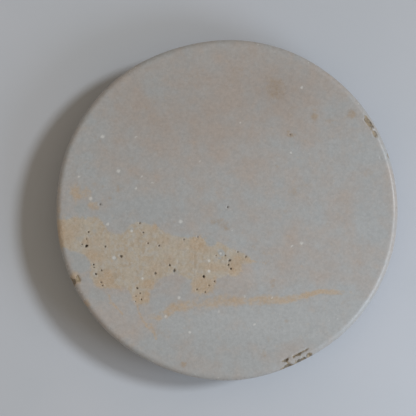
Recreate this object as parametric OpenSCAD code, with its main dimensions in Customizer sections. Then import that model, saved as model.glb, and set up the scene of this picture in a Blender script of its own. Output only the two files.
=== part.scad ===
// Marble chakla: a round stone board for rolling out flatbread, on three turned stone feet.
// Each foot has a short spigot that is bedded with stone adhesive in a blind socket under the slab.
// Millimetres. +Z is up, the feet stand on z = 0, and the slab's axis is the Z axis.

/* [Slab] */
// Diameter of the slab at its rim
slab_d = 254; // [200:1:320]
// Thickness of the slab
slab_t = 19; // [14:0.5:30]
// Radius of the eased edge round the rolling face
face_edge_r = 4.5; // [1:0.25:7]
// Radius of the eased edge round the underside
under_edge_r = 3; // [1:0.25:5]

/* [Feet] */
// Distance from the slab's rim in to the middle of each foot
foot_inset = 41; // [28:1:55]
// Height of a foot, from the table up to its shoulder
foot_h = 18.5; // [12:0.5:30]
// Diameter of a foot at its shoulder
foot_top_d = 38; // [32:0.5:44]
// Slope of a foot's side in towards the table, in degrees
foot_taper = 7; // [2:0.5:12]
// Radius of the rounding at the bottom of a foot
foot_round_r = 5; // [1:0.25:6]

/* [Seats] */
// Diameter of the spigot turned on the top of a foot
spigot_d = 22; // [14:0.5:26]
// Length of the spigot above the shoulder
spigot_l = 3.5; // [2:0.25:6]
// Width of the bevel that leads the spigot into its socket
spigot_bevel = 0.6; // [0.2:0.1:1.2]
// Adhesive between the spigot's side and the socket's wall
side_gap = 0.4; // [0.2:0.05:0.8]
// Adhesive between the spigot's end and the socket's floor
end_gap = 0.5; // [0.2:0.05:1]
// Thickness of the adhesive bed on a foot's shoulder
bed_t = 0.5; // [0.2:0.05:1]
// Radius of the cove of squeezed-out adhesive round a foot's shoulder
cove_r = 1.5; // [0.5:0.1:3]

/* [Hidden] */
$fn = 96;

// Directions of the three feet round the slab, from +X
rear_angle = 90;
left_angle = 210;
right_angle = 330;

stone = "#a8a49e";
foot_stone = "#b4b0aa";
resin = "#cfc5ae";

slab_r = slab_d / 2;
foot_circle_r = slab_r - foot_inset;
under_z = foot_h + bed_t;
face_z = under_z + slab_t;

spigot_r = spigot_d / 2;
spigot_top_z = foot_h + spigot_l;
socket_r = spigot_r + side_gap;
socket_top_z = spigot_top_z + end_gap;

// The foot's straight side starts a hair inside the rounding below it, so that the two cross at one point
side_lap = 0.01;
foot_top_r = foot_top_d / 2;
side_start_z = foot_round_r - (foot_round_r - side_lap) * sin(foot_taper);
side_start_r = foot_top_r - (foot_h - side_start_z) * tan(foot_taper);
foot_flat_r = side_start_r - (foot_round_r - side_lap) * cos(foot_taper);

// The hollow of the cove is struck from a centre beside the foot's shoulder
cove_centre_r = foot_top_r + cove_r;
cove_centre_z = foot_h - cove_r;

// Half of the slab's section: a flat disc whose two corners are rounded
module slab_section() {
    polygon([
        [0, under_z],
        [slab_r - under_edge_r, under_z],
        [slab_r, under_z + under_edge_r],
        [slab_r, face_z - face_edge_r],
        [slab_r - face_edge_r, face_z],
        [0, face_z]
    ]);
    translate([slab_r - under_edge_r, under_z + under_edge_r]) circle(r = under_edge_r);
    translate([slab_r - face_edge_r, face_z - face_edge_r]) circle(r = face_edge_r);
}

// Half of a foot's section: rounded bottom, tapered side, shoulder and bevelled spigot
module foot_section() {
    polygon([
        [0, 0],
        [foot_flat_r, 0],
        [side_start_r, side_start_z],
        [foot_top_r, foot_h],
        [spigot_r, foot_h],
        [spigot_r, spigot_top_z - spigot_bevel],
        [spigot_r - spigot_bevel, spigot_top_z],
        [0, spigot_top_z]
    ]);
    translate([foot_flat_r, foot_round_r]) circle(r = foot_round_r);
}

// Half of the section of the joint between a foot and the slab, with the foot still in it
module joint_section() {
    difference() {
        polygon([
            [0, cove_centre_z],
            [cove_centre_r, cove_centre_z],
            [cove_centre_r, under_z],
            [socket_r, under_z],
            [socket_r, socket_top_z],
            [0, socket_top_z]
        ]);
        translate([cove_centre_r, cove_centre_z]) circle(r = cove_r);
    }
}

module at_foot(angle) {
    rotate([0, 0, angle]) translate([foot_circle_r, 0, 0]) children();
}

module socket() {
    socket_depth = socket_top_z - under_z;
    translate([0, 0, under_z - socket_depth]) cylinder(h = 2 * socket_depth, r = socket_r);
}

module slab() {
    color(stone)
    difference() {
        rotate_extrude() slab_section();
        for (angle = [rear_angle, left_angle, right_angle]) at_foot(angle) socket();
    }
}

module foot() {
    color(foot_stone)
    rotate_extrude() foot_section();
}

// The adhesive fills the joint all round the foot: in the socket, on the shoulder and in the cove
module adhesive() {
    color(resin)
    difference() {
        rotate_extrude() joint_section();
        foot();
    }
}

module rear_foot() { at_foot(rear_angle) foot(); }
module left_foot() { at_foot(left_angle) foot(); }
module right_foot() { at_foot(right_angle) foot(); }
module rear_adhesive() { at_foot(rear_angle) adhesive(); }
module left_adhesive() { at_foot(left_angle) adhesive(); }
module right_adhesive() { at_foot(right_angle) adhesive(); }

slab();
rear_foot();
left_foot();
right_foot();
rear_adhesive();
left_adhesive();
right_adhesive();
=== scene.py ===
import math

import bmesh
import bpy
import numpy as np
from mathutils import Matrix, Vector, noise


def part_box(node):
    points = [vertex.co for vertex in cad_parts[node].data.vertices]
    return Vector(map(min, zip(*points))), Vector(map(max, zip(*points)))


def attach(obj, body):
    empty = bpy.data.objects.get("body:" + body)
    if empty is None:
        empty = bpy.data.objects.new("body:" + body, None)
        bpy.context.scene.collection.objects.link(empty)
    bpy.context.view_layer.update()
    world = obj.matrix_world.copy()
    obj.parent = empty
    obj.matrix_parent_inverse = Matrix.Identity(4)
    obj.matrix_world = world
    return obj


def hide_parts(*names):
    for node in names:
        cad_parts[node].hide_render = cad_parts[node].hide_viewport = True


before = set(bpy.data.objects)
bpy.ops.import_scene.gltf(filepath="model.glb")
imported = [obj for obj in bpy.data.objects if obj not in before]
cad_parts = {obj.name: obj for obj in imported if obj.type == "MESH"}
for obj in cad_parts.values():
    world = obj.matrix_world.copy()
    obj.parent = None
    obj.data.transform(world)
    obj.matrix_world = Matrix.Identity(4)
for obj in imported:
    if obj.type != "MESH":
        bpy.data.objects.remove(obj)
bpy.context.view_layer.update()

# Lengths are in millimetres, and MM turns them into Blender's metres.
MM = 0.001

# The slab, with its rolling face up
slab_low, slab_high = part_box("slab")
SLAB_R = slab_high.x / MM
UNDER_Z = slab_low.z / MM
FACE_Z = slab_high.z / MM
FACE_EDGE_R = 4.5
UNDER_EDGE_R = 3.0
FLAT_R = SLAB_R - FACE_EDGE_R

# The feet, and the sockets that their spigots are bedded in
FEET = ("rear", "left", "right")
SHOULDER_R = 19.0
SHOULDER_Z = 18.5
FOOT_TAPER = math.radians(7)
FOOT_ROUND_R = 5.0
SPIGOT_R = 11.0
SPIGOT_BEVEL = 0.6
SPIGOT_TOP_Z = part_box("rear_foot")[1].z / MM
SOCKET_R = 11.4
SOCKET_TOP_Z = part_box("rear_adhesive")[1].z / MM

# The adhesive's cove round a foot's shoulder, and how far the bed reaches into the slab's underside
COVE_R = 1.5
BEAD_HOLLOW_R = 1.35
BED_REACH = 0.05

# How finely the slab's surface is divided
FACE_CELLS = 172
UNDER_CELLS = FACE_CELLS // 2
EDGE_STEPS = 10
SIDE_STEPS = 8
UNDER_EDGE_STEPS = 6
FOOT_SEGMENTS = 144
BEAD_SEGMENTS = 240


# Marks in the stone, in millimetres from the middle of the rolling face: x to the right, y to the rear.

# The edge of the cream inclusion, from the left rim along its upper side to its tip and back underneath
INCLUSION = [
    (-132, -8), (-120, -8), (-108, -6.5), (-96, -7), (-91, -12), (-88, -17), (-82, -19.5), (-75, -18.5),
    (-71, -13), (-66, -10), (-60, -10.5), (-55, -13), (-50, -15.5), (-45, -18.5), (-39, -20.5),
    (-31, -21), (-26, -21.5), (-21, -20.5), (-17, -22), (-12, -28), (-7, -25), (-3, -27), (2, -29),
    (7, -31), (12, -33), (16, -35.5), (21, -39.5), (16, -40), (11.5, -41), (10.5, -47), (8, -50),
    (-1, -50), (-8, -52), (-9, -57), (-13, -62.5), (-20, -64), (-25, -60), (-25.5, -54.5), (-30, -50.5),
    (-40, -48.5), (-50, -52), (-54, -55), (-58, -61), (-57, -67), (-60.5, -71), (-67, -71), (-70, -65),
    (-74, -58), (-80, -59), (-85, -60), (-90, -59.5), (-96, -57), (-101, -50), (-100, -45), (-101, -39),
    (-106, -34.5), (-113, -33), (-118, -30), (-132, -31),
]

# Rust-tan blots: x, y, half width, half height, turn in degrees, strength
RUST_BLOTS = [
    (-22, -26, 6, 6, 0, 1.0), (-25, -23, 3, 2, 0, 0.5), (-16, -30, 8, 4, -20, 0.55),
    (-25, -35, 5, 4, 0, 0.5), (-87, -52, 4, 7, 10, 0.9), (-93, -55, 4, 4, 0, 0.8),
    (-82, -58, 5, 2, -15, 0.7), (-57, -56, 6, 3.5, 0, 0.9), (-59, -66, 2.5, 5, 0, 0.9),
    (-65, -67, 5, 5, 0, 0.75), (-17, -57, 8, 7, 0, 0.9), (-24, -58, 3, 5, 0, 0.6),
    (-9, -53, 2, 4, 0, 0.8), (6, -44, 6, 6, 0, 0.8), (8, -37, 5, 3, -15, 0.7),
    (-8, -44, 11, 3.5, 0, 0.75), (-52, -45, 6, 6, 0, 0.6), (-44, -37, 6, 5, 0, 0.45),
    (-46, -25, 7, 4, 0, 0.4), (-35, -27, 8, 5, 0, 0.4), (-98, -35, 8, 5, -20, 0.75),
    (-95, -24, 5, 5, 0, 0.5), (-88, -24, 2.5, 5, 10, 0.6), (-104, -25, 4, 3, 0, 0.6),
    (-112, -15, 7, 5, 0, 0.45), (-117, -20, 5, 9, 0, 0.6), (-122, -18, 4, 11, 0, 0.9),
    (-110, -9, 9, 2.5, 0, 0.4), (-112, 11, 4.5, 6, 20, 0.8), (-105, 12, 4, 3.5, 0, 0.6),
    (-98.5, 1.5, 4.5, 3, -15, 0.8), (-101, 7, 2, 2.5, 0, 0.4), (-57, -16, 5, 3, -20, 0.45),
    (-53, -14, 2, 3, 0, 0.7), (-31, -45, 5, 4, 0, 0.3), (-72, -36, 5, 3, 0, 0.35),
    (-72, -50, 5, 5, 0, 0.35), (-58, -25, 3, 2.5, 0, 0.5), (-37, -72, 7, 4, 8, 0.6),
    (15, -38, 4, 2, -30, 0.6), (-125, 2, 2, 14, 0, 0.4), (-112, -53, 4, 5, 0, 1.0),
    (-104, -72, 3, 4, 0, 0.8),
]

# The tan streak under the inclusion: x, y, half width, strength
STREAK = [
    (-56, -80, 2.0, 0.35), (-50, -80, 3.0, 0.6), (-44, -77.5, 3.0, 0.6), (-38, -73, 3.5, 0.75),
    (-31, -72.5, 3.5, 0.6), (-20, -69.5, 3.5, 0.5), (-12, -70, 4.0, 0.6), (-4, -67.5, 3.8, 0.65),
    (6, -68.5, 3.6, 0.7), (14, -69, 2.5, 0.55), (20, -68, 3.2, 0.65), (29, -67.5, 3.4, 0.85),
    (38, -68.5, 3.0, 0.7), (47, -67.5, 2.6, 0.7), (55, -65, 2.2, 0.7), (62, -63.5, 1.9, 0.95),
    (69, -61.5, 1.7, 1.0), (75, -62, 2.2, 0.65), (83, -62.5, 2.0, 0.5), (92, -63, 1.4, 0.25),
]

# Thin rusty lines: their strength, half width and points
RUST_LINES = [
    (0.8, 0.8, [(-86.8, -64), (-85.7, -70), (-81, -73.7), (-77, -78)]),
    (0.7, 0.7, [(-66, -72), (-64.5, -78), (-62, -83), (-58.5, -88), (-54, -92), (-52, -97)]),
    (0.6, 0.7, [(19.5, -39), (23, -39.8), (28, -40.6)]),
    (0.5, 0.6, [(-98, -52), (-95, -57), (-91, -59)]),
    (0.6, 0.5, [(-87.4, -26), (-86, -33), (-84.8, -40)]),
    (0.5, 0.7, [(-60, -86), (-57, -85), (-53.5, -91), (-51, -95)]),
]

# Blue-grey fragments inside and beside the inclusion: x, y, half width, half height, turn, strength
CLASTS = [
    (-108, -41, 7, 7, -45, 1.0), (-113, -35, 4, 3, -30, 0.7), (-12, -24, 5, 3.5, -30, 0.9),
    (-13, -27, 3, 2, 0, 0.6), (-4, -33, 3, 2.5, -45, 0.9), (-5, -37, 1.5, 1, 0, 0.7),
    (-97, -16, 3, 3, 0, 0.4), (-108, -23, 3, 2.5, 0, 0.5), (-70, -16, 2, 2, 0, 0.6),
    (-83, -37, 2.5, 2, 0, 0.6), (-108, 0, 6, 4, 0, 0.8), (-78, -14, 7, 5, 0, 0.5),
    (-37, -47, 3, 2, 0, 0.5), (-30, -58, 6, 4, 0, 0.5), (-95, -64, 8, 5, -30, 0.6),
    (-78, -66, 7, 5, 0, 0.5), (-44, -57, 7, 4, 0, 0.45), (-34, -20, 9, 2, 0, 0.4),
    (98, -63, 5, 3, 0, 0.5), (55, -54, 6, 4, 0, 0.5),
]

# Brown, reddish and olive stains in the plain stone: x, y, half width, half height, turn, strength
STAINS = [
    (-6, -11, 7, 4, -15, 0.55), (0, -15, 3, 2, 0, 0.5), (50, 12, 7, 4, 25, 0.45),
    (58, 16, 4, 2, 10, 0.35), (37, 88, 8, 9, 0, 0.55), (-24, 99, 7, 8, 20, 0.35),
    (10, 100, 12, 8, 0, 0.25), (-80, 14, 3, 3, 0, 0.6), (-86, 7, 2.2, 2.2, 0, 0.55),
    (-92, 16, 2, 1.5, 0, 0.5), (48, 54, 4, 1.8, 0, 0.9), (45.5, 57, 1.5, 1, 0, 0.6),
    (65, 68, 3.5, 3, 0, 0.7), (65, 73, 2.5, 2, 0, 0.4), (76, 65, 3, 2, 0, 0.6),
    (93, 70, 3.5, 4, 0, 0.7), (20, -28.5, 1.8, 1.2, 0, 0.7), (33.5, -55.5, 2.5, 4, 0, 0.5),
    (44, -84, 2.2, 1.8, 0, 0.6), (32, -96, 3, 3, 0, 0.4), (28, -108, 3, 3, 0, 0.4),
    (-32, -115.5, 2.5, 2.5, 0, 0.7), (28, -40, 4, 2, 0, 0.35), (-94, 51, 4, 3, 0, 0.35),
    (-103, 29, 2, 1.5, 0, 0.45), (-65, 23, 5, 3, 0, 0.3), (-58, 60, 8, 5, 30, 0.25),
    (-70, 33, 10, 7, 0, 0.3), (92, -45, 7, 6, 0, 0.25), (90, -35, 5, 4, 0, 0.2),
    (105, 25, 5, 5, 0, 0.3), (42, -4, 3, 5, 0, 0.3), (37, 31, 1.6, 2, 0, 0.4), (86, 37, 2, 2, 0, 0.3),
    (27, -34, 3, 1.5, 0, 0.35), (31, -40, 2, 1.5, 0, 0.35), (58, -42, 4, 4, 0, 0.25),
    (60, -75, 2, 5, 0, 0.2), (-50, -91, 5, 4, 0, 0.35), (40, 95, 3, 3, 0, 0.3),
    (60, 100, 5, 4, 0, 0.25), (16, -25, 3, 4, 0, 0.25), (56, 0, 6, 4, 0, 0.2),
]

# Broad drifts of tone over the plain stone, partly real and partly painted light that darkens and warms the
# rear and lightens the near side: x, y, half width, half height, warmth, lightness
TONE_AND_SHADE_DRIFTS = [
    (0, 85, 90, 40, 0.5, -0.4), (40, 88, 28, 20, 0.4, -0.3), (-60, 55, 50, 35, 0.4, -0.2),
    (30, 40, 60, 35, 0.2, 0.0), (-55, -3, 34, 12, -0.7, -0.2), (-98, 45, 16, 30, -0.3, 0.0),
    (90, 60, 18, 40, -0.6, -0.1), (108, 0, 14, 40, -0.6, -0.1), (60, -30, 45, 28, 0.2, 0.1),
    (60, -80, 50, 22, -0.6, 0.2), (0, -85, 50, 14, -0.5, 0.3), (-5, -105, 60, 20, -0.4, -0.1),
    (-80, -80, 22, 22, -0.1, 0.3), (18, -50, 16, 8, 0.3, 0.4), (5, -24, 12, 8, -0.5, 0.2),
]

# White crystals: x, y, half width
CRYSTALS = [
    (-109.7, 23.3, 1.1), (-62.4, 23.3, 1.0), (-54.7, 18.5, 1.0), (-67, 52.5, 1.0), (-80, 27.4, 1.5),
    (-67, 14.5, 1.2), (-27.3, -91.5, 1.3), (20.3, -86, 1.2), (-83, -36.8, 1.4), (-101, 7, 1.6),
    (-88, -12, 1.3), (-70, -17, 1.1), (-34, -10, 1.6), (-13, -39, 1.2), (-13, -46.5, 1.2),
    (-4.5, -33.5, 1.0), (4, -17, 0.8), (47.5, 41, 1.2), (55, -26, 1.4), (48, -28, 1.1), (56, 90, 1.2),
    (-6, -76, 1.0), (33, -66, 0.9), (-62, -52, 1.0), (75, -83, 0.9), (82, -82, 0.9), (-92, 53, 1.6),
    (13, -65, 1.0), (-45, -80, 1.2), (-35, -66, 1.3), (10, 63, 0.8), (-20, 35, 0.9),
]

# Pits in the face: x, y, half width, depth
PITS = [
    (-103.7, -28.2, 1.25, 1.7), (-17.1, -50.4, 1.1, 1.6), (-102.5, -17.8, 0.9, 0.9),
    (-89.7, -28.5, 1.1, 0.7), (-98.1, -43.9, 0.9, 0.9), (-98.4, -41.8, 0.8, 0.8),
    (-96.6, -48.8, 1.0, 1.0), (-92.5, -46, 1.0, 0.7), (-92.7, -55, 0.9, 0.6), (-91.7, -57.4, 0.9, 0.6),
    (-78, -35.7, 1.4, 0.7), (-66.2, -59, 1.0, 0.8), (-49.9, -27.7, 1.0, 0.8), (-42.1, -42.1, 1.1, 0.9),
    (-38.9, -46, 1.3, 0.7), (2.1, -38.6, 1.3, 0.9), (1.1, -41.9, 0.9, 0.8), (2.8, -44.6, 1.0, 0.8),
    (-1.2, -35, 0.9, 0.6), (0.6, 0.6, 0.9, 0.9), (-94, 3, 1.0, 0.7), (47, 54.5, 0.9, 0.6),
    (-64, -63, 0.8, 0.6), (-67, -65, 0.7, 0.6), (-63, -67.5, 0.8, 0.6), (-67.5, -69, 0.7, 0.5),
    (-52.5, -48, 1.1, 0.6), (-61.5, -18, 0.9, 0.6), (-64, -11, 0.9, 0.5), (-8, -35, 0.8, 0.5),
    (-58, -26, 0.9, 0.6), (-22, -60, 0.9, 0.6), (-16, -62, 0.8, 0.6), (-13, -57, 0.8, 0.5),
    (-9, -54, 0.8, 0.6), (-31.5, -23, 1.0, 0.5), (-21.5, -21.5, 0.9, 0.5), (8, -32, 1.0, 0.5),
    (14, -36, 1.0, 0.5), (-104, -23, 0.8, 0.5), (-107, -27, 0.8, 0.5),
]

# Breaks in the slab's edge: direction in degrees, height below the face, half length, half height, depth and
# how dark the break is painted
CHIPS = [
    (31.0, 0.2, 6.5, 0.9, 0.8, 0.9), (26.5, 0.2, 4.5, 0.7, 0.5, 0.6), (18.1, 2.6, 3.2, 1.1, 0.9, 0.9),
    (-69.0, 3.2, 5.5, 3.0, 2.2, 0.9), (-64.0, 2.8, 6.0, 2.6, 2.4, 1.0),
    (-61.0, 2.2, 3.5, 1.8, 1.6, 0.9), (-154.5, 3.0, 3.5, 3.5, 1.1, 0.9),
    (-144.9, 4.0, 2.2, 1.8, 0.8, 0.8), (152.0, 7.0, 3.0, 2.0, 0.8, 0.6),
    (75.0, 9.0, 5.0, 2.2, 1.0, 0.6), (-20.0, 9.5, 6.0, 2.5, 1.2, 0.7),
    (-100.0, 8.0, 4.0, 2.0, 0.9, 0.6),
]

# Where the slab isn't quite round: direction in degrees, half spread in degrees, how far its rim lies in
FLATS = [
    (108, 16, 1.1), (90, 20, 0.5), (180, 16, 0.9), (212, 18, 0.4), (-65, 16, 1.6), (-40, 22, 0.5),
    (8, 20, 0.3), (45, 24, 0.5), (240, 20, 0.5),
]


def smooth_step(value, low, high):
    """0 below low, 1 above high, and a smooth rise between them"""
    share = np.clip((value - low) / (high - low), 0.0, 1.0)
    return share * share * (3.0 - 2.0 * share)


def oval(place, x, y, half_w, half_h, turn=0.0):
    """How far each place lies from an oval's middle: 1 is its outline"""
    angle = math.radians(turn)
    across, along = place[:, 0] - x, place[:, 1] - y
    wide = (across * math.cos(angle) + along * math.sin(angle)) / half_w
    high = (along * math.cos(angle) - across * math.sin(angle)) / half_h
    return np.hypot(wide, high)


def blots(place, ovals, soft=0.75):
    """The strongest of a list of ovals at each place, with soft outlines"""
    weight = np.zeros(len(place))
    for x, y, half_w, half_h, turn, strength in ovals:
        away = oval(place, x, y, half_w, half_h, turn)
        weight = np.maximum(weight, strength * (1.0 - smooth_step(away, 1.0 - soft, 1.0 + soft)))
    return weight


def along_line(place, start, end):
    """Distance from a line between two points, and the share of the line passed by the nearest point"""
    start, end = np.array(start[:2]), np.array(end[:2])
    step = end - start
    share = np.clip((place - start) @ step / (step @ step), 0.0, 1.0)
    return np.linalg.norm(place - start - share[:, None] * step, axis=1), share


def band(place, points):
    """A band along points that give its half width and its strength"""
    weight = np.zeros(len(place))
    for start, end in zip(points, points[1:]):
        away, share = along_line(place, start, end)
        half = start[2] + share * (end[2] - start[2])
        strength = start[3] + share * (end[3] - start[3])
        weight = np.maximum(weight, strength * (1.0 - smooth_step(away / half, 0.4, 1.7)))
    return weight


def thin_line(place, strength, half, points):
    return band(place, [(x, y, half, strength) for x, y in points])


def depth_inside(place, outline):
    """Distance from a closed outline, above 0 inside it"""
    nearest = np.full(len(place), np.inf)
    inside = np.zeros(len(place), dtype=bool)
    x, y = place.T
    for start, end in zip(outline, outline[1:] + outline[:1]):
        nearest = np.minimum(nearest, along_line(place, start, end)[0])
        if start[1] != end[1]:
            crossing = start[0] + (y - start[1]) * (end[0] - start[0]) / (end[1] - start[1])
            inside ^= ((start[1] > y) != (end[1] > y)) & (x < crossing)
    return np.where(inside, nearest, -nearest)


def lumps(points, size, seed):
    """Smooth random values between about -1 and 1, with lumps of the given size"""
    shift = Vector((seed * 17.3, seed * 5.1, seed * 9.7))
    return np.array([noise.noise(Vector(point) / size + shift) for point in points])


def read_points(mesh):
    points = np.empty(len(mesh.vertices) * 3)
    mesh.vertices.foreach_get("co", points)
    return points.reshape(-1, 3)


def read_normals(mesh):
    normals = np.empty(len(mesh.vertices) * 3, dtype=np.float32)
    mesh.vertices.foreach_get("normal", normals)
    return normals.reshape(-1, 3).astype(float)


def write_points(mesh, points):
    mesh.vertices.foreach_set("co", points.ravel())
    mesh.update()


def write_mark(mesh, name, values):
    mark = mesh.attributes.new(name, "FLOAT", "POINT")
    mark.data.foreach_set("value", np.asarray(values, dtype=np.float32))


def as_mesh(bm, name):
    """Turns a bmesh into a mesh and frees it"""
    mesh = bpy.data.meshes.new(name)
    bm.to_mesh(mesh)
    bm.free()
    return mesh


def foot_middle(side):
    """The middle of a foot's base, in metres"""
    low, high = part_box(side + "_foot")
    return Vector(((low.x + high.x) / 2, (low.y + high.y) / 2, 0.0))


def finished_piece(name, mesh, replaced, material):
    """Puts a mesh into the scene as a piece of the object"""
    mesh.polygons.foreach_set("use_smooth", [True] * len(mesh.polygons))
    mesh.materials.append(material)
    piece = bpy.data.objects.new(name, mesh)
    bpy.context.scene.collection.objects.link(piece)
    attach(piece, "root")
    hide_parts(*replaced)
    return piece


def round_sheet(bm, cells, radius, height):
    """A flat disc of even quads: a square grid pushed out to a circle. Returns its open edge."""
    verts = bmesh.ops.create_grid(bm, x_segments=cells, y_segments=cells, size=1.0)["verts"]
    for vert in verts:
        x, y = vert.co.xy
        if abs(x) > abs(y):
            reach, angle = x, math.pi / 4 * y / x
        elif y:
            reach, angle = y, math.pi / 2 - math.pi / 4 * x / y
        else:
            reach, angle = 0.0, 0.0
        vert.co = (radius * reach * math.cos(angle), radius * reach * math.sin(angle), height)
    edges = {edge for vert in verts for edge in vert.link_edges if edge.is_boundary}
    return list(edges)


def pull_edge(bm, edges, steps):
    """Extrudes a round open edge through a list of (radius, height) steps and returns the last edge"""
    for radius, height in steps:
        made = bmesh.ops.extrude_edge_only(bm, edges=edges)["geom"]
        for vert in (item for item in made if isinstance(item, bmesh.types.BMVert)):
            scale = radius / vert.co.xy.length
            vert.co = (vert.co.x * scale, vert.co.y * scale, height)
        edges = [item for item in made if isinstance(item, bmesh.types.BMEdge) and item.is_boundary]
    return edges


def rim_steps():
    """The slab's section from the flat of its face, over the eased edge and down to its underside"""
    face_centre = FACE_Z - FACE_EDGE_R
    under_centre = UNDER_Z + UNDER_EDGE_R
    steps = []
    for i in range(1, EDGE_STEPS + 1):
        angle = math.pi / 2 * i / EDGE_STEPS
        steps.append((FLAT_R + FACE_EDGE_R * math.sin(angle), face_centre + FACE_EDGE_R * math.cos(angle)))
    for i in range(1, SIDE_STEPS + 1):
        steps.append((SLAB_R, face_centre + (under_centre - face_centre) * i / SIDE_STEPS))
    for i in range(1, UNDER_EDGE_STEPS + 1):
        angle = math.pi / 2 * i / UNDER_EDGE_STEPS
        inward = UNDER_EDGE_R * (1 - math.cos(angle))
        steps.append((SLAB_R - inward, under_centre - UNDER_EDGE_R * math.sin(angle)))
    return steps


def refine(bm, wanted):
    """Divides the edges of the faces whose middle is wanted"""
    edges = {edge for face in bm.faces if wanted(face.calc_center_median()) for edge in face.edges}
    bmesh.ops.subdivide_edges(bm, edges=list(edges), cuts=1, use_grid_fill=True)


def near_pit(middle):
    return middle.z > FACE_Z - 0.1 and any(
        math.hypot(middle.x - x, middle.y - y) < half + 1.0 for x, y, half, depth in PITS
    )


def near_chip(middle):
    if middle.xy.length < FLAT_R - 4 or middle.z < UNDER_Z + 1:
        return False
    direction = math.degrees(math.atan2(middle.y, middle.x))
    for angle, below, half_l, half_h, depth, stain in CHIPS:
        away = math.radians((direction - angle + 180) % 360 - 180) * SLAB_R
        if abs(away) < half_l + 2 and abs(FACE_Z - below - middle.z) < half_h + 2:
            return True
    return False


def in_inclusion(middle):
    return middle.z > FACE_Z - 0.1 and middle.x < 22 and -72 < middle.y < -8 and bool(
        depth_inside(np.array([middle.xy]), INCLUSION)[0] > -2
    )


def slab_shape():
    """The slab's smooth form, with more faces where it is pitted and chipped"""
    bm = bmesh.new()
    edge = round_sheet(bm, FACE_CELLS, FLAT_R, FACE_Z)
    edge = pull_edge(bm, edge, rim_steps())
    edge = pull_edge(bm, edge, [(SLAB_R - UNDER_EDGE_R - 1.5, UNDER_Z)])
    under_edge = round_sheet(bm, UNDER_CELLS, SLAB_R - UNDER_EDGE_R - 4.5, UNDER_Z)
    bmesh.ops.bridge_loops(bm, edges=edge + under_edge)
    refine(bm, in_inclusion)
    refine(bm, near_pit)
    refine(bm, near_chip)
    bmesh.ops.remove_doubles(bm, verts=bm.verts, dist=0.001)
    bmesh.ops.recalc_face_normals(bm, faces=bm.faces)
    return as_mesh(bm, "slab_stone")


def column_place(points):
    """Where the stone's veins, which lean a little as they go down, meet the rolling face"""
    down = FACE_Z - points[:, 2]
    return points[:, :2] + down[:, None] * np.array((0.3, -0.2))


def chip_shape(points):
    """How deep the breaks in the edge are at each point, and how much darker they are painted"""
    direction = np.degrees(np.arctan2(points[:, 1], points[:, 0]))
    below = FACE_Z - points[:, 2] - np.minimum(0.0, np.hypot(points[:, 0], points[:, 1]) - FLAT_R)
    near_edge = smooth_step(np.hypot(points[:, 0], points[:, 1]), FLAT_R - 3, FLAT_R - 1)
    ragged = lumps(points, 3.0, 4) * 0.45 + lumps(points, 1.1, 5) * 0.3
    facets = lumps(points, 1.6, 6) * 0.35
    depth, stain = np.zeros(len(points)), np.zeros(len(points))
    for angle, low, half_l, half_h, deep, darkened in CHIPS:
        away = np.radians((direction - angle + 180) % 360 - 180) * SLAB_R
        reach = np.hypot(away / half_l, (below - low) / half_h) + ragged
        share = near_edge * (1.0 - smooth_step(reach, 0.35, 1.0))
        depth = np.maximum(depth, deep * share * (1 + facets))
        # stain here is how much darker each break is painted
        stain = np.maximum(stain, darkened * near_edge * (1.0 - smooth_step(reach, 0.6, 1.25)))
    return depth, stain


def pit_shape(points, place):
    """How deep the pits in the face are at each point, and how dark"""
    on_face = points[:, 2] > FACE_Z - 0.1
    ragged = lumps(points, 1.3, 7) * 0.5
    depth, dark = np.zeros(len(points)), np.zeros(len(points))
    for x, y, half, deep in PITS:
        away = np.linalg.norm(place - (x, y), axis=1) / half + ragged
        depth = np.maximum(depth, deep * (1.0 - smooth_step(away, 0.0, 1.2)))
        dark = np.maximum(dark, min(1.0, 0.35 + 0.4 * deep) * (1.0 - smooth_step(away, 0.3, 1.3)))
    return depth * on_face, dark * on_face


def rim_inset(points):
    """How far the rim lies inside the true circle, because the slab was rounded by hand"""
    direction = np.degrees(np.arctan2(points[:, 1], points[:, 0]))
    inset = 0.25 + 0.2 * lumps(points * (1, 1, 0.2), 45, 1)
    for angle, spread, deep in FLATS:
        away = np.abs((direction - angle + 180) % 360 - 180)
        inset = inset + deep * (1.0 - smooth_step(away, 0.0, spread * 1.6))
    reach = np.hypot(points[:, 0], points[:, 1])
    return np.maximum(inset, 0.0) * smooth_step(reach, 0.5 * SLAB_R, SLAB_R)


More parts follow.
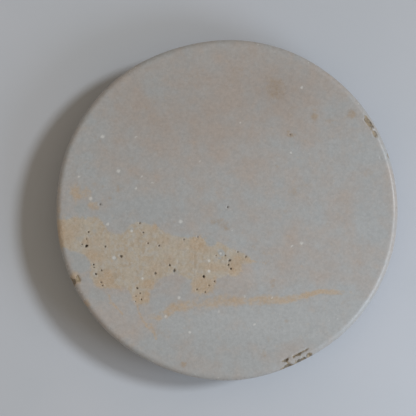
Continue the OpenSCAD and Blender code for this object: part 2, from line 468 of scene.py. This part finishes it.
def wear_slab(mesh):
    """Gives the slab its marks, and moves its surface in at the pits, the chips and the flats"""
    points, normals = read_points(mesh), read_normals(mesh)
    place = column_place(points)
    inclusion = depth_inside(place, INCLUSION)
    rust = np.maximum(blots(place, RUST_BLOTS), band(place, STREAK))
    for strength, half, line in RUST_LINES:
        rust = np.maximum(rust, thin_line(place, strength, half, line))
    # The tone drifts are partly painted light: a darker, warmer rear and a lighter near side
    warmth, lightness = np.zeros(len(points)), np.zeros(len(points))
    for x, y, half_w, half_h, warm, light in TONE_AND_SHADE_DRIFTS:
        share = 1.0 - smooth_step(oval(place, x, y, half_w, half_h), 0.3, 1.5)
        warmth += warm * share
        lightness += light * share
    chip_depth, chip_darkening = chip_shape(points)
    pit_depth, pit_dark = pit_shape(points, place)
    crystals = blots(place, [(x, y, half, half, 0.0, 1.0) for x, y, half in CRYSTALS])
    write_mark(mesh, "inclusion", np.clip(inclusion, -8.0, 8.0))
    write_mark(mesh, "rust", rust)
    write_mark(mesh, "clast", blots(place, CLASTS, 0.4))
    write_mark(mesh, "stain", blots(place, STAINS))
    write_mark(mesh, "warmth", warmth)
    write_mark(mesh, "lightness", lightness)
    write_mark(mesh, "crystal", crystals)
    write_mark(mesh, "pit", pit_dark)
    write_mark(mesh, "chip", chip_darkening)
    write_mark(mesh, "rim", smooth_step(np.hypot(points[:, 0], points[:, 1]), FLAT_R - 0.5, FLAT_R + 3.5))
    write_mark(mesh, "under", 1.0 - smooth_step(points[:, 2], UNDER_Z + 0.4, UNDER_Z + 2.0))

    porous = smooth_step(inclusion, -0.5, 1.5) * (points[:, 2] > FACE_Z - FACE_EDGE_R)
    small_dimples = smooth_step(lumps(points, 1.7, 2), 0.15, 0.6) * 0.16
    dimples = small_dimples + smooth_step(lumps(points, 4.5, 3), 0.1, 0.6) * 0.12
    inward = chip_depth + pit_depth + porous * dimples
    outward = points * (1, 1, 0) / np.maximum(np.hypot(points[:, 0], points[:, 1]), 1.0)[:, None]
    points = points - normals * inward[:, None] - outward * rim_inset(points)[:, None]
    write_points(mesh, points * MM)


def socket_cutter():
    """Three short cylinders where the sockets go"""
    bm = bmesh.new()
    depth = SOCKET_TOP_Z - UNDER_Z
    for side in FEET:
        middle = Matrix.Translation(foot_middle(side) + Vector((0.0, 0.0, UNDER_Z * MM)))
        bmesh.ops.create_cone(
            bm, cap_ends=True, segments=96, radius1=SOCKET_R * MM, radius2=SOCKET_R * MM,
            depth=2 * depth * MM, matrix=middle,
        )
    cutter = bpy.data.objects.new("socket_cutter", as_mesh(bm, "socket_cutter"))
    bpy.context.scene.collection.objects.link(cutter)
    return cutter


def cut_sockets(mesh):
    """The slab's mesh with a blind socket for each foot"""
    blank = bpy.data.objects.new("slab_blank", mesh)
    bpy.context.scene.collection.objects.link(blank)
    cutter = socket_cutter()
    cut = blank.modifiers.new("sockets", "BOOLEAN")
    cut.operation = "DIFFERENCE"
    cut.solver = "EXACT"
    cut.object = cutter
    shown = blank.evaluated_get(bpy.context.evaluated_depsgraph_get())
    bored = bpy.data.meshes.new_from_object(shown)
    bpy.data.objects.remove(blank)
    bpy.data.objects.remove(cutter)
    return bored


def turned(profile, segments):
    """A bmesh turned from a list of (radius, height) points"""
    bm = bmesh.new()
    verts = [bm.verts.new((radius, 0.0, height)) for radius, height in profile]
    edges = [bm.edges.new(pair) for pair in zip(verts, verts[1:])]
    bmesh.ops.spin(
        bm, geom=verts + edges, cent=(0, 0, 0), axis=(0, 0, 1), dvec=(0, 0, 0),
        angle=2 * math.pi, steps=segments, use_merge=True, use_duplicate=False,
    )
    bmesh.ops.remove_doubles(bm, verts=bm.verts, dist=0.001)
    bmesh.ops.recalc_face_normals(bm, faces=bm.faces)
    return bm


def even_steps(points, step):
    """Adds points to a profile so that no two lie further apart than the step"""
    filled = [points[0]]
    for start, end in zip(points, points[1:]):
        count = max(1, math.ceil(math.dist(start, end) / step))
        for i in range(1, count + 1):
            filled.append(tuple(a + (b - a) * i / count for a, b in zip(start, end)))
    return filled


def foot_profile():
    """A foot's section from the middle of its base to the middle of its spigot"""
    side_z = FOOT_ROUND_R * (1 - math.sin(FOOT_TAPER))
    flat_r = SHOULDER_R - FOOT_ROUND_R * math.cos(FOOT_TAPER) - (SHOULDER_Z - side_z) * math.tan(FOOT_TAPER)
    rounding = []
    for i in range(9):
        angle = -math.pi / 2 + (math.pi / 2 - FOOT_TAPER) * i / 8
        rounding.append((flat_r + FOOT_ROUND_R * math.cos(angle), FOOT_ROUND_R * (1 + math.sin(angle))))
    top = [
        (SHOULDER_R, SHOULDER_Z), (SPIGOT_R, SHOULDER_Z), (SPIGOT_R, SPIGOT_TOP_Z - SPIGOT_BEVEL),
        (SPIGOT_R - SPIGOT_BEVEL, SPIGOT_TOP_Z), (0.0, SPIGOT_TOP_Z),
    ]
    return even_steps([(0.0, 0.0)] + rounding + top, 0.9)


def make_foot(side, seed, material):
    middle = foot_middle(side) / MM
    mesh = as_mesh(turned(foot_profile(), FOOT_SEGMENTS), side + "_foot_stone")
    points, normals = read_points(mesh), read_normals(mesh)
    lower = 1.0 - smooth_step(points[:, 2], SHOULDER_Z - 2.5, SHOULDER_Z - 1.0)
    uneven = 0.10 + 0.10 * lumps(points, 9.0, seed)
    turning = 0.04 * np.sin(points[:, 2] * 2 * math.pi / 1.9)
    base_edge = 1.0 - smooth_step(np.abs(points[:, 2] - 0.8), 0.0, 2.5)
    nicks = smooth_step(lumps(points, 2.6, seed + 1), 0.28, 0.6) * base_edge * 0.7
    inward = lower * np.maximum(uneven + turning + nicks, 0.0) * (points[:, 2] > 0.01)
    points = points - normals * inward[:, None]
    write_mark(mesh, "wear", lower * (nicks * 1.4 + 0.4 * base_edge))
    write_points(mesh, (points + np.array(middle)) * MM)
    return finished_piece(side + "_foot_stone", mesh, [side + "_foot"], material)


def bead_profile():
    """The adhesive's closed section: along the foot, round the squeezed-out bead and back along the slab"""
    side_r = SHOULDER_R - COVE_R * math.tan(FOOT_TAPER)
    along_foot = [
        (0.0, SPIGOT_TOP_Z), (SPIGOT_R - SPIGOT_BEVEL, SPIGOT_TOP_Z), (SPIGOT_R, SPIGOT_TOP_Z - SPIGOT_BEVEL),
        (SPIGOT_R, SHOULDER_Z), (SHOULDER_R - 0.2, SHOULDER_Z), (SHOULDER_R - 0.4, SHOULDER_Z - 0.8),
        (side_r - 0.3, SHOULDER_Z - 1.7),
    ]
    bead = []
    for i in range(9):
        angle = math.pi + math.pi / 2 * i / 8
        radius = SHOULDER_R + COVE_R + BEAD_HOLLOW_R * math.cos(angle)
        bead.append((radius, SHOULDER_Z - COVE_R - BEAD_HOLLOW_R * math.sin(angle)))
    along_slab = [
        (SHOULDER_R + COVE_R + 0.1, UNDER_Z + BED_REACH), (SOCKET_R, UNDER_Z + BED_REACH),
        (SOCKET_R, SOCKET_TOP_Z), (0.0, SOCKET_TOP_Z),
    ]
    return along_foot + bead + along_slab


def make_bead(side, seed, material):
    middle = foot_middle(side) / MM
    mesh = as_mesh(turned(bead_profile(), BEAD_SEGMENTS), side + "_adhesive_bead")
    points = read_points(mesh)
    reach = np.hypot(points[:, 0], points[:, 1])
    outer = smooth_step(reach, SHOULDER_R - 0.1, SHOULDER_R + 0.8) * (points[:, 2] < UNDER_Z + 0.01)
    swell = 0.5 * lumps(points * (1, 1, 0.3), 7.0, seed) + 0.3 * lumps(points * (1, 1, 0.3), 2.2, seed + 1)
    low_end = smooth_step(SHOULDER_Z - points[:, 2], 0.3, 1.6)
    outward = points * (1, 1, 0) / np.maximum(reach, 1.0)[:, None]
    points = points + outward * (outer * np.clip(swell, -0.5, 0.45))[:, None]
    points[:, 2] -= low_end * outer * np.clip(0.6 + 1.3 * swell, 0.0, 1.4)
    write_points(mesh, (points + np.array(middle)) * MM)
    return finished_piece(side + "_adhesive_bead", mesh, [side + "_adhesive"], material)


def colour(red, green, blue):
    """A colour read as it looks on a screen, from 0 to 255, as the shader's own light values"""
    shares = [value / 255 for value in (red, green, blue)]
    return tuple(s / 12.92 if s <= 0.04045 else ((s + 0.055) / 1.055) ** 2.4 for s in shares) + (1.0,)


class Shading:
    """Adds nodes to a material. An input is a plain value or another node's output."""

    def __init__(self, name):
        self.material = bpy.data.materials.new(name)
        self.material.use_nodes = True
        self.tree = self.material.node_tree
        self.surface = self.tree.nodes["Principled BSDF"]
        coordinates = self.add("ShaderNodeTexCoord").outputs["Object"]
        self.place = self.vector("MULTIPLY", coordinates, (1000.0, 1000.0, 1000.0))

    def feed(self, socket, value):
        if isinstance(value, bpy.types.NodeSocket):
            self.tree.links.new(value, socket)
        else:
            socket.default_value = value

    def add(self, kind, **settings):
        node = self.tree.nodes.new(kind)
        for name, value in settings.items():
            setattr(node, name, value)
        return node

    def vector(self, operation, a, b):
        node = self.add("ShaderNodeVectorMath", operation=operation)
        self.feed(node.inputs[0], a)
        self.feed(node.inputs[1], b)
        return node.outputs["Vector"]

    def maths(self, operation, a, b=0.0, clamp=False):
        node = self.add("ShaderNodeMath", operation=operation, use_clamp=clamp)
        self.feed(node.inputs[0], a)
        self.feed(node.inputs[1], b)
        return node.outputs["Value"]

    def mark(self, name):
        return self.add("ShaderNodeAttribute", attribute_name=name).outputs["Fac"]

    def noise(self, size, detail=2.0, rough=0.5, bend=0.0):
        """Noise with lumps of a size in millimetres"""
        node = self.add("ShaderNodeTexNoise")
        self.feed(node.inputs["Vector"], self.place)
        self.feed(node.inputs["Scale"], 1.0 / size)
        self.feed(node.inputs["Detail"], detail)
        self.feed(node.inputs["Roughness"], rough)
        self.feed(node.inputs["Distortion"], bend)
        return node

    def cells(self, size):
        """Crystals of a size in millimetres"""
        node = self.add("ShaderNodeTexVoronoi")
        self.feed(node.inputs["Vector"], self.place)
        self.feed(node.inputs["Scale"], 1.0 / size)
        return node

    def spread(self, value, low, high, to_low=0.0, to_high=1.0, smooth=True):
        kind = "SMOOTHSTEP" if smooth else "LINEAR"
        node = self.add("ShaderNodeMapRange", interpolation_type=kind)
        self.feed(node.inputs["Value"], value)
        ends = {"From Min": low, "From Max": high, "To Min": to_low, "To Max": to_high}
        for name, number in ends.items():
            self.feed(node.inputs[name], number)
        return node.outputs["Result"]

    def mix(self, share, a, b, blend="MIX"):
        node = self.add("ShaderNodeMix", data_type="RGBA", blend_type=blend)
        self.feed(node.inputs[0], share)
        self.feed(node.inputs[6], a)
        self.feed(node.inputs[7], b)
        return node.outputs[2]

    def brighten(self, base, factor):
        """A colour times a factor that is 1 where nothing changes"""
        grey = self.add("ShaderNodeCombineColor")
        for channel in ("Red", "Green", "Blue"):
            self.feed(grey.inputs[channel], factor)
        return self.mix(1.0, base, grey.outputs["Color"], "MULTIPLY")

    def bump(self, height, strength, distance, normal=None):
        node = self.add("ShaderNodeBump")
        self.feed(node.inputs["Height"], height)
        self.feed(node.inputs["Strength"], strength)
        self.feed(node.inputs["Distance"], distance * MM)
        if normal:
            self.feed(node.inputs["Normal"], normal)
        return node.outputs["Normal"]

    def finish(self, base, rough, normal):
        self.feed(self.surface.inputs["Base Color"], base)
        self.feed(self.surface.inputs["Roughness"], rough)
        self.feed(self.surface.inputs["Normal"], normal)
        return self.material


def sugary_grain(shade):
    """Brightness of the marble's small crystals, 1 on average"""
    crystal = shade.add("ShaderNodeSeparateColor")
    shade.feed(crystal.inputs["Color"], shade.cells(1.5).outputs["Color"])
    small = shade.add("ShaderNodeSeparateColor")
    shade.feed(small.inputs["Color"], shade.cells(0.7).outputs["Color"])
    coarse = shade.spread(crystal.outputs["Red"], 0.0, 1.0, -0.045, 0.045, smooth=False)
    light = shade.spread(small.outputs["Green"], 0.0, 1.0, 0.965, 1.035, smooth=False)
    lumpy = shade.noise(3.0, 3.0, 0.6).outputs["Fac"]
    cloud = shade.spread(lumpy, 0.25, 0.75, -0.05, 0.05, smooth=False)
    return shade.maths("ADD", shade.maths("ADD", coarse, light), cloud)


def scattered(shade, size, reach, rarity):
    """Sparse specks: small spots in the rarest cells of a pattern"""
    cells = shade.cells(size)
    parts = shade.add("ShaderNodeSeparateColor")
    shade.feed(parts.inputs["Color"], cells.outputs["Color"])
    chosen = shade.maths("GREATER_THAN", parts.outputs["Blue"], rarity)
    spot = shade.spread(cells.outputs["Distance"], reach * 0.4, reach, 1.0, 0.0)
    return shade.maths("MULTIPLY", chosen, spot)


def ragged(shade, value, noises, soft):
    """A soft mark broken up by noise. noises holds (noise output, strength) pairs."""
    for output, strength in noises:
        value = shade.maths("ADD", value, shade.spread(output, 0.0, 1.0, -strength, strength, smooth=False))
    return shade.spread(value, 0.5 - soft, 0.5 + soft)


def slab_marble():
    shade = Shading("slab_marble")
    broad = shade.noise(26.0, 3.0, 0.5, bend=0.3).outputs["Fac"]
    patchy = shade.noise(9.0, 3.0, 0.6).outputs["Fac"]
    medium = shade.noise(3.2, 2.0, 0.55).outputs["Fac"]
    fine = shade.noise(1.1, 2.0, 0.6).outputs["Fac"]

    cool_stone = colour(163, 165, 165)
    warm_stone = colour(168, 158, 150)
    # The warmth drifts warm the rear partly as painted light
    drift = shade.maths("ADD", shade.spread(broad, 0.3, 0.7, 0.05, 0.75, smooth=False),
                        shade.maths("MULTIPLY", shade.mark("warmth"), 0.55))
    drift = shade.maths("ADD", drift, shade.spread(patchy, 0.3, 0.7, -0.25, 0.25, smooth=False), clamp=True)
    base = shade.mix(drift, cool_stone, warm_stone)

    stain = ragged(shade, shade.mark("stain"), [(medium, 0.35), (patchy, 0.25), (fine, 0.2)], 0.3)
    base = shade.mix(shade.maths("MULTIPLY", stain, 0.75), base, colour(158, 141, 122))

    edge_noise = [(patchy, 2.2), (medium, 2.4), (fine, 1.0)]
    inside = shade.maths("ADD", shade.maths("MULTIPLY", shade.mark("inclusion"), 0.9), 0.5)
    inside = ragged(shade, inside, edge_noise, 0.9)
    cream = shade.mix(shade.spread(patchy, 0.4, 0.62), colour(176, 166, 150), colour(172, 158, 139))
    cream = shade.mix(shade.spread(medium, 0.42, 0.66), cream, colour(176, 170, 160))
    base = shade.mix(inside, base, cream)

    clast = ragged(shade, shade.mark("clast"), [(medium, 0.2), (fine, 0.12)], 0.2)
    base = shade.mix(shade.maths("MULTIPLY", clast, 0.8), base, colour(160, 162, 161))

    rust_noise = [(medium, 0.55), (fine, 0.35), (patchy, 0.25)]
    rust = ragged(shade, shade.mark("rust"), rust_noise, 0.42)
    tan = shade.mix(shade.spread(fine, 0.35, 0.65), colour(176, 152, 124), colour(178, 162, 142))
    base = shade.mix(shade.maths("MULTIPLY", rust, 0.85), base, tan)

    grain = sugary_grain(shade)
    base = shade.brighten(base, grain)
    pepper = shade.spread(fine, 0.30, 0.42, 0.16, 0.0)
    grit = shade.maths("MULTIPLY", pepper, shade.spread(shade.mark("inclusion"), -0.5, 1.0))
    base = shade.mix(grit, base, colour(120, 105, 86))
    # Painted light in part: the lightness drifts darken the rear and lighten the near side
    base = shade.brighten(base, shade.spread(shade.mark("lightness"), -1.0, 1.0, 0.86, 1.14, smooth=False))

    specks = shade.maths("MULTIPLY", scattered(shade, 3.4, 0.24, 0.78), 0.5)
    specks = shade.maths("MAXIMUM", specks, shade.spread(shade.mark("crystal"), 0.3, 0.9, 0.0, 0.7))
    base = shade.mix(specks, base, colour(206, 206, 202))
    flecks = shade.maths("MULTIPLY", scattered(shade, 4.6, 0.2, 0.8), 0.45)
    base = shade.mix(flecks, base, colour(118, 112, 96))

    # The breaks in the edge are painted dark brown
    chip = shade.spread(shade.mark("chip"), 0.2, 0.7)
    chip_tone = shade.mix(shade.spread(medium, 0.35, 0.65), colour(92, 80, 62), colour(150, 134, 108))
    base = shade.mix(shade.maths("MULTIPLY", chip, 0.85), base, chip_tone)
    pit = shade.spread(shade.mark("pit"), 0.15, 0.8)
    base = shade.mix(pit, base, colour(66, 54, 42))

    under = shade.mark("under")
    base = shade.mix(shade.maths("MULTIPLY", under, 0.25), base, colour(186, 182, 174))

    rim = shade.mark("rim")
    rough = shade.spread(medium, 0.3, 0.7, 0.46, 0.56)
    rough = shade.maths("SUBTRACT", rough, shade.maths("MULTIPLY", rim, 0.2))
    rough = shade.maths("ADD", rough, shade.maths("MULTIPLY", inside, 0.1))
    broken_or_sawn = shade.maths("MAXIMUM", chip, under)
    rough = shade.maths("ADD", rough, shade.maths("MULTIPLY", broken_or_sawn, 0.25), clamp=True)
    normal = shade.bump(fine, 0.25, 0.12)
    normal = shade.bump(medium, shade.spread(inside, 0.0, 1.0, 0.1, 0.5), 0.3, normal)
    return shade.finish(base, rough, normal)


def foot_marble():
    shade = Shading("foot_marble")
    cloud = shade.noise(11.0, 4.0, 0.6, bend=0.5).outputs["Fac"]
    medium = shade.noise(3.0, 2.0, 0.55).outputs["Fac"]
    fine = shade.noise(1.0, 2.0, 0.6).outputs["Fac"]
    base = shade.mix(shade.spread(cloud, 0.35, 0.65), colour(172, 170, 166), colour(184, 177, 166))
    vein = shade.spread(shade.maths("ABSOLUTE", shade.maths("SUBTRACT", cloud, 0.5)), 0.0, 0.018, 0.35, 0.0)
    base = shade.mix(vein, base, colour(150, 136, 116))
    base = shade.brighten(base, sugary_grain(shade))
    wear = shade.mark("wear")
    base = shade.mix(shade.maths("MULTIPLY", wear, 0.5), base, colour(140, 131, 116))
    rough = shade.spread(medium, 0.3, 0.7, 0.48, 0.62)
    rough = shade.maths("ADD", rough, shade.maths("MULTIPLY", wear, 0.2), clamp=True)
    normal = shade.bump(fine, 0.3, 0.12)
    normal = shade.bump(medium, 0.2, 0.3, normal)
    return shade.finish(base, rough, normal)


def stone_adhesive():
    shade = Shading("stone_adhesive")
    cloud = shade.noise(6.0, 3.0, 0.6).outputs["Fac"]
    fine = shade.noise(0.9, 2.0, 0.6).outputs["Fac"]
    base = shade.mix(shade.spread(cloud, 0.35, 0.65), colour(196, 182, 152), colour(208, 198, 174))
    bubbles = scattered(shade, 1.8, 0.3, 0.6)
    base = shade.mix(shade.maths("MULTIPLY", bubbles, 0.5), base, colour(150, 134, 104))
    dust = shade.spread(fine, 0.5, 0.7, 0.0, 0.3)
    base = shade.mix(dust, base, colour(196, 192, 184))
    rough = shade.spread(fine, 0.3, 0.7, 0.34, 0.55)
    normal = shade.bump(cloud, 0.3, 0.4)
    return shade.finish(base, rough, normal)


# The backdrop's colour, and how far out, in metres, the floor starts to take it and has taken it
BACKDROP = colour(190, 195, 202)
BACKDROP_START = 0.45
BACKDROP_FULL = 1.1
FLOOR_HALF_WIDTH = 30.0


def seen_or_mirrored(tree):
    """1 on rays from the camera, from gloss and through glass, and 0 on the rays that light the object"""
    path = tree.nodes.new("ShaderNodeLightPath")
    total = path.outputs["Is Camera Ray"]
    for name in ("Is Glossy Ray", "Is Transmission Ray"):
        adding = tree.nodes.new("ShaderNodeMath")
        adding.operation = "MAXIMUM"
        tree.links.new(total, adding.inputs[0])
        tree.links.new(path.outputs[name], adding.inputs[1])
        total = adding.outputs["Value"]
    return total


def floor_finish():
    """A pale floor that passes into a plain backdrop further out"""
    shade = Shading("floor_finish")
    cloud = shade.noise(90.0, 2.0, 0.5).outputs["Fac"]
    base = shade.mix(shade.spread(cloud, 0.3, 0.7), colour(189, 194, 201), colour(192, 196, 203))
    shade.feed(shade.surface.inputs["Base Color"], base)
    shade.feed(shade.surface.inputs["Roughness"], 0.8)
    shade.feed(shade.surface.inputs["Specular IOR Level"], 0.2)
    plain = shade.add("ShaderNodeEmission")
    plain.inputs["Color"].default_value = BACKDROP
    reach = shade.add("ShaderNodeVectorMath", operation="LENGTH")
    shade.feed(reach.inputs[0], shade.place)
    far = shade.spread(reach.outputs["Value"], BACKDROP_START / MM, BACKDROP_FULL / MM)
    share = shade.maths("MULTIPLY", far, seen_or_mirrored(shade.tree))
    blend = shade.add("ShaderNodeMixShader")
    shade.feed(blend.inputs[0], share)
    shade.feed(blend.inputs[1], shade.surface.outputs["BSDF"])
    shade.feed(blend.inputs[2], plain.outputs["Emission"])
    output = shade.tree.nodes["Material Output"]
    shade.tree.links.new(blend.outputs["Shader"], output.inputs["Surface"])
    return shade.material


def make_floor():
    bm = bmesh.new()
    bmesh.ops.create_grid(bm, x_segments=8, y_segments=8, size=FLOOR_HALF_WIDTH)
    mesh = as_mesh(bm, "floor")
    mesh.materials.append(floor_finish())
    floor = bpy.data.objects.new("floor", mesh)
    bpy.context.scene.collection.objects.link(floor)


# The warm light that comes from all round
FILL = (0.36, 0.31, 0.25)


def make_world():
    """A soft warm fill all round, behind which the camera sees the backdrop's own colour"""
    world = bpy.data.worlds.new("room_light")
    bpy.context.scene.world = world
    world.use_nodes = True
    tree = world.node_tree
    fill = tree.nodes["Background"]
    fill.inputs["Color"].default_value = FILL + (1.0,)
    shown = tree.nodes.new("ShaderNodeBackground")
    shown.inputs["Color"].default_value = BACKDROP
    blend = tree.nodes.new("ShaderNodeMixShader")
    tree.links.new(seen_or_mirrored(tree), blend.inputs[0])
    tree.links.new(fill.outputs["Background"], blend.inputs[1])
    tree.links.new(shown.outputs["Background"], blend.inputs[2])
    tree.links.new(blend.outputs["Shader"], tree.nodes["World Output"].inputs["Surface"])


# The window: the way to it from the board, and how wide it looks from there
WINDOW_WAY = Vector((0.69, 0.16, 0.71))
WINDOW_STRENGTH = 1.35
WINDOW_SPREAD = math.radians(10)
WINDOW_TINT = (0.94, 1.0, 1.06)
# A soft light near the right-hand side, in metres and watts
SIDE_LIGHT_PLACE = Vector((0.55, -0.28, 0.42))
SIDE_LIGHT_SIZE = 0.36
SIDE_LIGHT_POWER = 1.9
SIDE_LIGHT_TINT = (0.82, 0.95, 1.12)


def make_lamp(name, kind, tint, towards, place=(0.0, 0.0, 0.0)):
    lamp = bpy.data.lights.new(name, kind)
    lamp.color = tint
    holder = bpy.data.objects.new(name, lamp)
    holder.location = place
    holder.rotation_mode = "QUATERNION"
    holder.rotation_quaternion = (-towards).to_track_quat("-Z", "Y")
    bpy.context.scene.collection.objects.link(holder)
    return lamp


def make_lamps():
    window = make_lamp("window", "SUN", WINDOW_TINT, WINDOW_WAY)
    window.energy = WINDOW_STRENGTH
    window.angle = WINDOW_SPREAD
    side = make_lamp("side_light", "AREA", SIDE_LIGHT_TINT, SIDE_LIGHT_PLACE, SIDE_LIGHT_PLACE)
    side.shape = "DISK"
    side.size = SIDE_LIGHT_SIZE
    side.energy = SIDE_LIGHT_POWER


# The camera looks down on the face from slightly towards its near side, as in the photograph.
CAMERA_DISTANCE = 1.0
CAMERA_TILT = math.radians(4)
VIEW_WIDTH = 306.6
AIM_X = -13.8
AIM_Y = 0.0
SENSOR = 36.0


def make_camera():
    data = bpy.data.cameras.new("camera")
    data.sensor_width = SENSOR
    data.lens = SENSOR * CAMERA_DISTANCE / (VIEW_WIDTH * MM)
    camera = bpy.data.objects.new("camera", data)
    aim = Vector((AIM_X, AIM_Y, FACE_Z)) * MM
    back = Vector((0.0, -math.sin(CAMERA_TILT), math.cos(CAMERA_TILT)))
    camera.location = aim + back * CAMERA_DISTANCE
    camera.rotation_euler = (CAMERA_TILT, 0.0, 0.0)
    bpy.context.scene.collection.objects.link(camera)
    bpy.context.scene.camera = camera


def make_slab():
    mesh = slab_shape()
    wear_slab(mesh)
    return finished_piece("marble_slab", cut_sockets(mesh), ["slab"], slab_marble())


make_camera()
make_slab()
foot_stone = foot_marble()
resin = stone_adhesive()
for number, side in enumerate(FEET):
    make_foot(side, 20 + 10 * number, foot_stone)
    make_bead(side, 60 + 10 * number, resin)
make_floor()
make_world()
make_lamps()

bpy.context.scene.view_settings.view_transform = "Standard"
